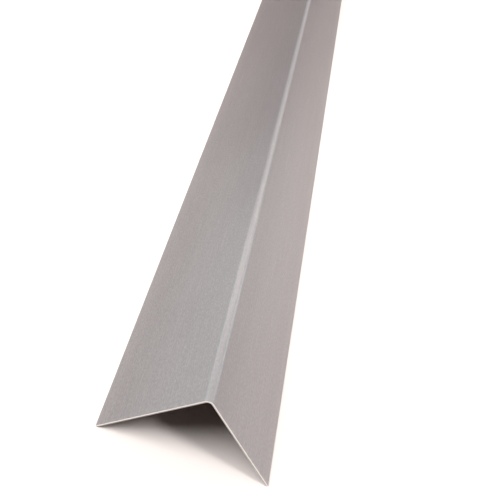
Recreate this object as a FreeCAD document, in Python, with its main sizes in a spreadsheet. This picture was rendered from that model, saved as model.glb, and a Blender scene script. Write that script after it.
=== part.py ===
import FreeCAD, Part
import math
import os
import Sketcher

# A corner guard: one sheet of satin stainless steel, bent once along its middle into two equal wings.
# It lies on a floor as a tent, on its two long edges. +X is across it, +Y along it and +Z up,
# and the origin is on the floor under its middle. Lengths are in millimetres.

NODE = "corner_guard"

SIZES = {
    "guard_length": (1219.2, "length along the bend"),
    "wing_width": (88.9, "outside of a wing, from the sharp corner that the bend rounds to the long edge"),
    "sheet_thickness": (1.5875, "thickness of the sheet"),
    "inside_bend_radius": (3.175, "radius of the bend on the wall side"),
    "bend_angle": (90, "angle between the two wings, in degrees"),
    "edge_break": (0.2, "radius that deburring leaves on every cut edge"),
}

LEFT, RIGHT = -1, 1

# How a sketch numbers the points of a line or an arc, its own origin and its vertical axis
START, END, CENTRE = 1, 2, 3
SKETCH_ORIGIN = (-1, 1)
CENTRE_LINE = -2


def write_sizes(doc):
    sheet = doc.addObject("Spreadsheet::Sheet", "sizes")
    for row, (name, (value, meaning)) in enumerate(SIZES.items(), start=1):
        sheet.set(f"A{row}", name)
        sheet.set(f"B{row}", str(value))
        sheet.set(f"C{row}", meaning)
        sheet.setAlias(f"B{row}", name)
    doc.recompute()
    return sheet


def draw_section(sketch, sheet):
    """Draws the bent sheet's section, with the wings down to the left and right of the bend."""
    half_angle = math.radians(sheet.bend_angle / 2)
    sine = math.sin(half_angle)
    cosine = math.cos(half_angle)
    thickness = sheet.sheet_thickness
    outside_radius = sheet.inside_bend_radius + thickness
    bend_reach = outside_radius * cosine / sine
    sharp_height = sheet.wing_width * cosine + thickness * sine
    bend_centre = FreeCAD.Vector(0, sharp_height - outside_radius / sine, 0)

    def point(side, along, depth):
        """A point of a wing, so far down from the sharp corner and so deep in the sheet."""
        across = side * (along * sine - depth * cosine)
        return FreeCAD.Vector(across, sharp_height - along * cosine - depth * sine, 0)

    def wing(side, depth):
        foot = point(side, sheet.wing_width, depth)
        return sketch.addGeometry(Part.LineSegment(foot, point(side, bend_reach, depth)))

    def cut(side):
        outside_foot = point(side, sheet.wing_width, 0)
        return sketch.addGeometry(Part.LineSegment(outside_foot, point(side, sheet.wing_width, thickness)))

    def bend(radius):
        circle = Part.Circle(bend_centre, FreeCAD.Vector(0, 0, 1), radius)
        return sketch.addGeometry(Part.ArcOfCircle(circle, half_angle, math.pi - half_angle))

    left_outside, right_outside = wing(LEFT, 0), wing(RIGHT, 0)
    left_inside, right_inside = wing(LEFT, thickness), wing(RIGHT, thickness)
    left_cut, right_cut = cut(LEFT), cut(RIGHT)
    outside_bend, inside_bend = bend(outside_radius), bend(sheet.inside_bend_radius)
    sharp_corner = sketch.addGeometry(Part.Point(FreeCAD.Vector(0, sharp_height, 0)), True)

    relations = [
        ("Tangent", left_outside, END, outside_bend, END),
        ("Tangent", right_outside, END, outside_bend, START),
        ("Tangent", left_inside, END, inside_bend, END),
        ("Tangent", right_inside, END, inside_bend, START),
        ("Coincident", outside_bend, CENTRE, inside_bend, CENTRE),
        ("Coincident", left_outside, START, left_cut, START),
        ("Coincident", left_inside, START, left_cut, END),
        ("Coincident", right_outside, START, right_cut, START),
        ("Coincident", right_inside, START, right_cut, END),
        ("Parallel", left_outside, left_inside),
        ("Parallel", right_outside, right_inside),
        ("Perpendicular", left_outside, left_cut),
        ("Perpendicular", right_outside, right_cut),
        ("Symmetric", left_outside, START, right_outside, START, CENTRE_LINE),
        ("PointOnObject", outside_bend, CENTRE, CENTRE_LINE),
        ("PointOnObject", sharp_corner, START, CENTRE_LINE),
        ("PointOnObject", sharp_corner, START, left_outside),
    ]
    for relation in relations:
        sketch.addConstraint(Sketcher.Constraint(*relation))

    half_bend = "sizes.bend_angle * 1 deg / 2"
    set_size(sketch, "wing_width", "sizes.wing_width * 1 mm",
             "Distance", sharp_corner, START, left_outside, START)
    set_size(sketch, "sheet_thickness", "sizes.sheet_thickness * 1 mm", "Distance", left_cut)
    set_size(sketch, "inside_bend_radius", "sizes.inside_bend_radius * 1 mm", "Radius", inside_bend)
    set_size(sketch, "wing_slope", f"90 deg - {half_bend}", "Angle", left_outside)
    # The guard rests on the rounded corners of its long edges, so the sharp ones are this far under the floor
    set_size(sketch, "foot_drop", f"sizes.edge_break * 1 mm * (sin({half_bend}) + cos({half_bend}) - 1)",
             "DistanceY", left_cut, END, *SKETCH_ORIGIN)


def set_size(sketch, name, formula, kind, *places):
    """Adds a named dimension to the sketch that follows the sizes in the sheet."""
    number = sketch.addConstraint(Sketcher.Constraint(kind, *places, sketch.evalExpression(formula)))
    sketch.renameConstraint(number, name)
    sketch.setExpression(f"Constraints.{name}", formula)


def make_guard(doc, sheet):
    body = doc.addObject("PartDesign::Body", NODE)
    body.Label = NODE
    body.Placement = FreeCAD.Placement()

    section = body.newObject("Sketcher::SketchObject", "section")
    front_plane = next(plane for plane in body.Origin.OriginFeatures if plane.Role == "XZ_Plane")
    section.AttachmentSupport = (front_plane, [""])
    section.MapMode = "FlatFace"
    draw_section(section, sheet)

    bent_sheet = body.newObject("PartDesign::Pad", "bent_sheet")
    bent_sheet.Profile = section
    bent_sheet.SideType = "Symmetric"
    bent_sheet.setExpression("Length", "sizes.guard_length * 1 mm")
    doc.recompute()

    deburred_edges = body.newObject("PartDesign::Fillet", "deburred_edges")
    deburred_edges.Base = (bent_sheet, [""])
    deburred_edges.UseAllEdges = True
    deburred_edges.setExpression("Radius", "sizes.edge_break * 1 mm")
    body.Tip = deburred_edges
    doc.recompute()
    return body


def check(doc, body):
    for item in doc.Objects:
        faults = {"Invalid", "Error"}.intersection(item.State)
        if faults:
            raise RuntimeError(f"{item.Label} is {', '.join(faults)}")
    if body.Shape.isNull() or not body.Shape.isValid():
        raise RuntimeError(f"{body.Label} has no valid shape")
    if len(body.Shape.Solids) != 1:
        raise RuntimeError(f"{body.Label} isn't one solid")


doc = FreeCAD.newDocument("corner_guard_moulding")
sizes = write_sizes(doc)
guard = make_guard(doc, sizes)
check(doc, guard)
os.makedirs("parts", exist_ok=True)
guard.Shape.exportStep(f"parts/{guard.Label}.step")
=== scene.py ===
import math

import bpy
from mathutils import Matrix, Vector


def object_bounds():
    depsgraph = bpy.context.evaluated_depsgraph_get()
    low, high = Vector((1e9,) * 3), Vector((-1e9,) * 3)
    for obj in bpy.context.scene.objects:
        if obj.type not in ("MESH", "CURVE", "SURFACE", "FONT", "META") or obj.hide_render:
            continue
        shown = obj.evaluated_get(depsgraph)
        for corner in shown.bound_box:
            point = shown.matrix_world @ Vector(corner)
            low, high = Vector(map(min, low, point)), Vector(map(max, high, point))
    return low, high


# A corner guard of satin stainless steel lies on a white studio floor, on its two long edges.
# Lengths are in metres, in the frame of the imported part: +Y runs along the bend and +Z is up.

MM = 0.001
UP = Vector((0, 0, 1))
WHITE = (1, 1, 1, 1)
BLACK = (0, 0, 0, 1)

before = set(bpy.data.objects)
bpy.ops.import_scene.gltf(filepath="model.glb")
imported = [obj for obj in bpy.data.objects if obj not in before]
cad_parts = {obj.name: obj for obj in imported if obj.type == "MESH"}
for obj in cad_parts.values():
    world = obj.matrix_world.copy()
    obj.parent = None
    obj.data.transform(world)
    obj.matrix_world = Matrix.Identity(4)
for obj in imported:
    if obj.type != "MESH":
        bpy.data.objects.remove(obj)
cad_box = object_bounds()
low, high = cad_box
NEAR_END = Vector((0, low.y, 0))

GUARD = "corner_guard"
SHEET_THICKNESS = 1.5875 * MM
OUTSIDE_BEND_RADIUS = 4.7625 * MM
WING_SLOPE = math.sqrt(0.5)
BEND_HALF_WIDTH = OUTSIDE_BEND_RADIUS * WING_SLOPE
BEND_CENTRE_HEIGHT = high.z - OUTSIDE_BEND_RADIUS
CUT_FACE_HEIGHT = SHEET_THICKNESS * WING_SLOPE

# Camera, placed from the middle of the near end and turned the way the photograph was taken
CAMERA_FROM_NEAR_END = Vector((-57.5, -336.75, 440.6)) * MM
CAMERA_PITCH_DOWN = math.radians(36.84)
CAMERA_AZIMUTH = math.radians(6.75)
CAMERA_ROLL = math.radians(-24.87)
CAMERA_LENS_MM = 56.5
CAMERA_SENSOR_MM = 36
CAMERA_SEES_FROM, CAMERA_SEES_TO = 0.01, 100

# Steel colours, as linear red, green and blue
STEEL_DARK = (0.325, 0.314, 0.32, 1)
STEEL_LIGHT = (0.424, 0.409, 0.417, 1)
# Rubbed steel, also the colour of a painted highlight along the whole bend
STEEL_RUBBED_AND_HIGHLIT = (0.51, 0.48, 0.48, 1)
# Painted shade: the inner faces are far darker and browner than the steel outside
STEEL_INSIDE_PAINTED_SHADE = (0.135, 0.098, 0.086, 1)
BURNISHED_DARK = (0.60, 0.585, 0.57, 1)
BURNISHED_LIGHT = (0.88, 0.865, 0.84, 1)
FRACTURE_DARK = (0.26, 0.25, 0.24, 1)
FRACTURE_LIGHT = (0.60, 0.585, 0.565, 1)
RUBBED_AND_HIGHLIT_SHARE = 0.5

# Marks in the finish: how wide one is across the guard, and how long along it
FINE_GRAIN = (0.35 * MM, 18 * MM)
MOTTLE = (0.9 * MM, 2.6 * MM)
STREAKS = (3 * MM, 350 * MM)
CLOUDS = (60 * MM, 160 * MM)
HAIRLINES = (0.6 * MM, 60 * MM)
HAIRLINE_TURN = math.radians(3)
SHEAR_MARKS = (0.25 * MM, 0.25 * MM)
RUBS = (2.5 * MM, 30 * MM)

# Each pair: the value at which a mark or zone starts, and the value from which it is full
HAIRLINE_NOISE = (0.71, 0.80)
RUB_NOISE = (0.35, 0.70)
FACING_DOWN = (0.1, -0.1)
FACING_ALONG = (0.4, 0.8)
LONG_CUT_HEIGHT = (CUT_FACE_HEIGHT + 0.15 * MM, CUT_FACE_HEIGHT - 0.05 * MM)
FRACTURE_DEPTH = (0.65 * MM, 0.95 * MM)
WORN_FOOT_HEIGHT = (2.6 * MM, 0.6 * MM)
WORN_END = (high.y - 2.5 * MM, high.y - 0.3 * MM)
# The bend zone holds rubs and a painted highlight
WORN_AND_HIGHLIT_BEND = (BEND_HALF_WIDTH * 1.1, BEND_HALF_WIDTH * 0.6)
# Painted light: the wings turn lighter from the bend down to half their height
PAINTED_LIGHT_BELOW_BEND_HEIGHT = (high.z, high.z / 2)
# Painted light: the wings are made lighter over the last 12 mm above the floor
PAINTED_LIGHT_FOOT_HEIGHT = (12 * MM, 0)

FRACTURE_UNEVENNESS = 0.4 * MM
# The least share along the bend is a painted highlight; the range adds rubs on top
BEND_HIGHLIGHT_LEAST, BEND_RUB_RANGE = 0.32, 0.30

# How much each mark and zone adds to the share of the light colour, to the roughness and to the relief
TONE_START = -1.92
TONE_WEIGHTS = {
    "grain": 1.4, "mottle": 2.2, "streaks": 0.25, "clouds": 0.4, "hairlines": 0.3,
    # The next two are painted light: the lower wings and a band along the feet are made lighter
    "painted_light_below_bend": 0.18, "painted_light_foot_band": 0.4,
}
ROUGHNESS_START = 0.30
ROUGHNESS_WEIGHTS = {"grain": 0.10, "clouds": 0.06, "hairlines": -0.06, "worn_and_highlit": -0.05, "torn_cut": 0.14}
RELIEF_WEIGHTS = {"grain": 1.0, "streaks": 1.5, "hairlines": -0.6, "grainy_cut": 2.0}
RELIEF_HEIGHT = 0.006 * MM

FLOOR_REACH = 30
FLOOR_COLOUR = (0.90, 0.825, 0.79, 1)
WORLD_LIGHT = 0.09

# The panels and the screen stand round this spot, on the near part of the guard
LIT_SPOT = Vector((0, low.y + 0.16, 0.05))
SCREEN_DISTANCE = 1.7
SCREEN_HEIGHT = 0.25
SCREEN_SPREAD = 70
SCREEN_PANELS = 14
SCREEN_COLOUR = (0.33, 0.21, 0.20, 1)


class Nodes:
    """A node tree, filled by calls that each add a node and give back its output."""

    # The Mix node keeps its colour sockets after those for numbers and vectors
    MIX_FACTOR, MIX_FIRST_COLOUR, MIX_SECOND_COLOUR, MIX_RESULT_COLOUR = 0, 6, 7, 2

    def __init__(self, tree):
        self.tree = tree
        tree.nodes.clear()

    def add(self, kind, **settings):
        node = self.tree.nodes.new(kind)
        for name, value in settings.items():
            setattr(node, name, value)
        return node

    def join(self, source, socket):
        """Links an output to a socket, or sets the socket to a plain number or colour."""
        if isinstance(source, bpy.types.NodeSocket):
            self.tree.links.new(source, socket)
        else:
            socket.default_value = source

    def split(self, vector):
        """The three numbers of a vector."""
        parts = self.add("ShaderNodeSeparateXYZ")
        self.join(vector, parts.inputs[0])
        return parts.outputs

    def math(self, operation, *values):
        node = self.add("ShaderNodeMath", operation=operation)
        for value, socket in zip(values, node.inputs):
            self.join(value, socket)
        return node.outputs[0]

    def most(self, first, *others):
        for other in others:
            first = self.math("MAXIMUM", first, other)
        return first

    def product(self, first, *others):
        for other in others:
            first = self.math("MULTIPLY", first, other)
        return first

    def weighted_sum(self, start, *pairs):
        """A number plus each value times its weight."""
        total = start
        for value, weight in pairs:
            total = self.math("MULTIPLY_ADD", value, weight, total)
        return total

    def layered(self, start, layers, weights):
        """A number plus each named layer times its weight."""
        return self.weighted_sum(start, *((layers[name], weight) for name, weight in weights.items()))

    def ramp(self, value, start, end):
        """Goes smoothly from 0 to 1 as the value goes from start to end."""
        node = self.add("ShaderNodeMapRange", interpolation_type="SMOOTHSTEP")
        self.join(value, node.inputs["Value"])
        node.inputs["From Min"].default_value = start
        node.inputs["From Max"].default_value = end
        return node.outputs[0]

    def noise(self, place, cell, detail=2, turn=0, shift=0):
        """Noise about 0.5, in cells so wide across the guard and so long along it."""
        across, along = cell
        mapping = self.add("ShaderNodeMapping")
        self.join(place, mapping.inputs["Vector"])
        mapping.inputs["Scale"].default_value = (1 / across, 1 / along, 1 / across)
        mapping.inputs["Rotation"].default_value = (0, 0, turn)
        mapping.inputs["Location"].default_value = (shift, shift, shift)
        noise = self.add("ShaderNodeTexNoise")
        self.join(mapping.outputs[0], noise.inputs["Vector"])
        noise.inputs["Scale"].default_value = 1
        noise.inputs["Detail"].default_value = detail
        return noise.outputs["Fac"]

    def blend(self, share, first, second):
        """The first colour, or so great a share of the second one."""
        node = self.add("ShaderNodeMix", data_type="RGBA")
        self.join(share, node.inputs[self.MIX_FACTOR])
        self.join(first, node.inputs[self.MIX_FIRST_COLOUR])
        self.join(second, node.inputs[self.MIX_SECOND_COLOUR])
        return node.outputs[self.MIX_RESULT_COLOUR]


def new_material(name):
    """A material, its nodes and the sockets of its shader."""
    material = bpy.data.materials.new(name)
    material.use_nodes = True
    nodes = Nodes(material.node_tree)
    shader = nodes.add("ShaderNodeBsdfPrincipled")
    output = nodes.add("ShaderNodeOutputMaterial")
    nodes.join(shader.outputs[0], output.inputs["Surface"])
    return material, nodes, shader.inputs


def add_object(name, data):
    thing = bpy.data.objects.new(name, data)
    bpy.context.scene.collection.objects.link(thing)
    return thing


def make_camera():
    data = bpy.data.cameras.new("camera")
    data.lens = CAMERA_LENS_MM
    data.sensor_width = CAMERA_SENSOR_MM
    data.clip_start, data.clip_end = CAMERA_SEES_FROM, CAMERA_SEES_TO
    level = math.cos(CAMERA_PITCH_DOWN)
    ahead = Vector((
        math.sin(CAMERA_AZIMUTH) * level,
        math.cos(CAMERA_AZIMUTH) * level,
        -math.sin(CAMERA_PITCH_DOWN),
    ))
    level_right = ahead.cross(UP).normalized()
    level_up = level_right.cross(ahead)
    right = level_right * math.cos(CAMERA_ROLL) - level_up * math.sin(CAMERA_ROLL)
    up = level_up * math.cos(CAMERA_ROLL) + level_right * math.sin(CAMERA_ROLL)
    turn = Matrix((right, up, -ahead)).transposed().to_4x4()
    camera = add_object("camera", data)
    camera.matrix_world = Matrix.Translation(NEAR_END + CAMERA_FROM_NEAR_END) @ turn
    bpy.context.scene.camera = camera


def finish_marks(nodes, place):
    """The marks of the satin finish, the cut edges and the wear, as numbers."""
    hairline_noise = nodes.noise(place, HAIRLINES, detail=0, turn=HAIRLINE_TURN)
    return {
        "grain": nodes.noise(place, FINE_GRAIN, detail=3),
        "mottle": nodes.noise(place, MOTTLE, detail=3, shift=11),
        "streaks": nodes.noise(place, STREAKS, shift=7),
        "clouds": nodes.noise(place, CLOUDS, shift=3),
        "hairlines": nodes.ramp(hairline_noise, *HAIRLINE_NOISE),
        "shear": nodes.noise(place, SHEAR_MARKS, detail=3),
        "rubs": nodes.ramp(nodes.noise(place, RUBS, shift=5), *RUB_NOISE),
    }


def depth_in_sheet(nodes, x, z):
    """How deep a point of a cut face lies under the outside of the sheet, round the bend too."""
    across = nodes.math("ABSOLUTE", x)
    over_centre = nodes.math("SUBTRACT", z, BEND_CENTRE_HEIGHT)
    out_from_bend = nodes.weighted_sum(0, (across, WING_SLOPE), (over_centre, WING_SLOPE))
    down_the_wing = nodes.weighted_sum(0, (across, WING_SLOPE), (over_centre, -WING_SLOPE))
    before_the_wing = nodes.math("MINIMUM", down_the_wing, 0)
    squares = nodes.math(
        "ADD",
        nodes.product(out_from_bend, out_from_bend),
        nodes.product(before_the_wing, before_the_wing),
    )
    return nodes.math("SUBTRACT", OUTSIDE_BEND_RADIUS, nodes.math("SQRT", squares))


def guard_zones(nodes, coordinates, marks):
    """How far each point belongs to a zone of the guard, from 0 to 1."""
    x, y, z = nodes.split(coordinates["Object"])
    _, facing_along, facing_up = nodes.split(coordinates["Normal"])

    inside = nodes.ramp(facing_up, *FACING_DOWN)
    outside = nodes.math("SUBTRACT", 1, inside)
    end_cut = nodes.ramp(nodes.math("ABSOLUTE", facing_along), *FACING_ALONG)
    long_cut = nodes.product(inside, nodes.ramp(z, *LONG_CUT_HEIGHT))
    cut = nodes.most(end_cut, long_cut)
    uneven_depth = nodes.weighted_sum(
        -FRACTURE_UNEVENNESS / 2,
        (depth_in_sheet(nodes, x, z), 1), (marks["shear"], FRACTURE_UNEVENNESS),
    )
    fracture = nodes.ramp(uneven_depth, *FRACTURE_DEPTH)

    at_foot = nodes.ramp(z, *WORN_FOOT_HEIGHT)
    at_end = nodes.ramp(nodes.math("ABSOLUTE", y), *WORN_END)
    at_bend = nodes.ramp(nodes.math("ABSOLUTE", x), *WORN_AND_HIGHLIT_BEND)
    edge_rubs = nodes.product(nodes.most(at_foot, at_end), marks["rubs"])
    # Painted highlight: the bend is always at least this much lighter, with rubs varying it
    bend_rubs_and_highlight = nodes.product(at_bend, nodes.weighted_sum(BEND_HIGHLIGHT_LEAST, (marks["rubs"], BEND_RUB_RANGE)))

    return {
        "inside": inside,
        "cut": cut,
        "fracture": fracture,
        "torn_cut": nodes.product(cut, fracture),
        "grainy_cut": nodes.product(cut, marks["shear"]),
        # Rubs at the feet and ends, and the painted highlight along the bend
        "worn_and_highlit": nodes.product(outside, nodes.most(edge_rubs, bend_rubs_and_highlight)),
        # Painted light: 0 at the bend, full from half the height down
        "painted_light_below_bend": nodes.ramp(z, *PAINTED_LIGHT_BELOW_BEND_HEIGHT),
        # Painted light along the feet of the wings
        "painted_light_foot_band": nodes.ramp(z, *PAINTED_LIGHT_FOOT_HEIGHT),
    }


def steel_colour(nodes, layers):
    """Satin steel: painted shade on the inner faces, painted light and rubs outside, bright cut edges."""
    satin = nodes.blend(nodes.layered(TONE_START, layers, TONE_WEIGHTS), STEEL_DARK, STEEL_LIGHT)
    # Painted shade: the inner faces get the dark inside colour
    satin_with_shaded_inside = nodes.blend(layers["inside"], satin, STEEL_INSIDE_PAINTED_SHADE)
    # Rubs at the feet and ends, and a painted highlight all along the bend
    rubbed_and_highlit = nodes.blend(nodes.product(layers["worn_and_highlit"], RUBBED_AND_HIGHLIT_SHARE), satin_with_shaded_inside, STEEL_RUBBED_AND_HIGHLIT)
    burnished = nodes.blend(layers["shear"], BURNISHED_DARK, BURNISHED_LIGHT)
    fracture = nodes.blend(layers["shear"], FRACTURE_DARK, FRACTURE_LIGHT)
    bare = nodes.blend(layers["fracture"], burnished, fracture)
    return nodes.blend(layers["cut"], rubbed_and_highlit, bare)


def satin_steel():
    material, nodes, steel = new_material("satin_steel_guard")
    coordinates = nodes.add("ShaderNodeTexCoord").outputs
    marks = finish_marks(nodes, coordinates["Object"])
    layers = {**marks, **guard_zones(nodes, coordinates, marks)}
    bump = nodes.add("ShaderNodeBump")
    bump.inputs["Strength"].default_value = 1
    bump.inputs["Distance"].default_value = RELIEF_HEIGHT
    nodes.join(nodes.layered(0, layers, RELIEF_WEIGHTS), bump.inputs["Height"])
    nodes.join(bump.outputs[0], steel["Normal"])
    nodes.join(steel_colour(nodes, layers), steel["Base Color"])
    nodes.join(nodes.layered(ROUGHNESS_START, layers, ROUGHNESS_WEIGHTS), steel["Roughness"])
    steel["Metallic"].default_value = 1
    return material


def dress_guard():
    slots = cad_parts[GUARD].data.materials
    slots.clear()
    slots.append(satin_steel())


def make_floor():
    mesh = bpy.data.meshes.new("floor")
    signs = ((-1, -1), (1, -1), (1, 1), (-1, 1))
    corners = [(x * FLOOR_REACH, y * FLOOR_REACH, 0) for x, y in signs]
    mesh.from_pydata(corners, [], [(0, 1, 2, 3)])
    add_object("floor", mesh)
    material, _, white = new_material("white_floor")
    white["Base Color"].default_value = FLOOR_COLOUR
    white["Roughness"].default_value = 1
    white["Specular IOR Level"].default_value = 0
    mesh.materials.append(material)


def seen_share(nodes):
    """1 for a ray that sees, straight, in a reflection or through glass, and 0 for one that lights."""
    path = nodes.add("ShaderNodeLightPath")
    kinds = ("Is Camera Ray", "Is Glossy Ray", "Is Transmission Ray")
    return nodes.most(*(path.outputs[kind] for kind in kinds))


def make_world():
    """A world that is seen white, also in the metal, and gives little light."""
    world = bpy.data.worlds.new("white_studio")
    world.use_nodes = True
    nodes = Nodes(world.node_tree)
    background = nodes.add("ShaderNodeBackground")
    output = nodes.add("ShaderNodeOutputWorld")
    background.inputs["Color"].default_value = WHITE
    nodes.join(nodes.most(seen_share(nodes), WORLD_LIGHT), background.inputs["Strength"])
    nodes.join(background.outputs[0], output.inputs["Surface"])
    bpy.context.scene.world = world


def direction(azimuth, elevation):
    """Towards a lamp: azimuth 0 is along +Y and 90 along +X, in degrees."""
    turn, rise = math.radians(azimuth), math.radians(elevation)
    level = math.cos(rise)
    return Vector((math.sin(turn) * level, math.cos(turn) * level, math.sin(rise)))


def make_sun(name, azimuth, elevation, brightness, spread):
    """A far lamp, so many degrees wide, for the floor and its shade. The metal doesn't mirror it.

    Brightness 1 shows a surface square to it as its colour is written.
    """
    data = bpy.data.lights.new(name, "SUN")
    data.energy = brightness * math.pi
    data.angle = math.radians(spread)
    lamp = add_object(name, data)
    lamp.rotation_mode = "QUATERNION"
    lamp.rotation_quaternion = direction(azimuth, elevation).to_track_quat("Z", "Y")
    lamp.visible_glossy = False


def make_softbox(name, azimuth, elevation, distance, size, brightness, colour):
    """A faintly tinted panel, for the metal to mirror, that faces the near part of the guard.

    Brightness 1 looks as bright as white does.
    """
    data = bpy.data.lights.new(name, "AREA")
    data.shape = "RECTANGLE"
    data.size, data.size_y = size
    data.energy = brightness * math.pi * data.size * data.size_y
    data.color = colour
    lamp = add_object(name, data)
    towards = direction(azimuth, elevation)
    lamp.location = LIT_SPOT + towards * distance
    lamp.rotation_mode = "QUATERNION"
    lamp.rotation_quaternion = towards.to_track_quat("Z", "Y")
    lamp.visible_camera = False


def make_screen():
    """A grey-brown screen round the far end, which only reflections show: it tones the metal down."""
    mesh = bpy.data.meshes.new("grey_screen")
    turns = [SCREEN_SPREAD * (2 * k / SCREEN_PANELS - 1) for k in range(SCREEN_PANELS + 1)]
    feet = [LIT_SPOT + direction(turn, 0) * SCREEN_DISTANCE for turn in turns]
    corners = [(foot.x, foot.y, height) for foot in feet for height in (0, SCREEN_HEIGHT)]
    faces = [(2 * k, 2 * k + 1, 2 * k + 3, 2 * k + 2) for k in range(SCREEN_PANELS)]
    mesh.from_pydata(corners, [], faces)
    screen = add_object("grey_screen", mesh)
    screen.visible_camera = False
    screen.visible_diffuse = False
    screen.visible_shadow = False
    screen.visible_transmission = False
    material, _, grey = new_material("grey_screen")
    grey["Base Color"].default_value = BLACK
    grey["Roughness"].default_value = 1
    grey["Specular IOR Level"].default_value = 0
    grey["Emission Color"].default_value = SCREEN_COLOUR
    grey["Emission Strength"].default_value = 1
    mesh.materials.append(material)


def make_lamps():
    make_sun("key_light", azimuth=-114, elevation=48, brightness=1.1, spread=38)
    make_sun("fill_light", azimuth=126, elevation=62, brightness=0.35, spread=12)
    make_sun("top_light", azimuth=0, elevation=75, brightness=0.12, spread=40)
    make_softbox(
        "left_softbox", azimuth=-57, elevation=20, distance=0.6, size=(0.56, 0.25),
        brightness=0.87, colour=(0.88, 1, 0.98),
    )
    make_softbox(
        "right_softbox", azimuth=45, elevation=20, distance=0.6, size=(0.30, 0.25),
        brightness=0.85, colour=(0.90, 0.98, 1),
    )
    make_softbox(
        "near_bend_softbox", azimuth=-7, elevation=41, distance=0.6, size=(0.64, 0.38),
        brightness=0.60, colour=(1, 0.89, 0.83),
    )
    make_softbox(
        "far_bend_softbox", azimuth=8, elevation=20, distance=1.45, size=(0.60, 0.50),
        brightness=0.32, colour=(1, 0.87, 0.78),
    )


make_camera()
make_world()
make_floor()
dress_guard()
make_screen()
make_lamps()
bpy.context.scene.view_settings.view_transform = "Standard"
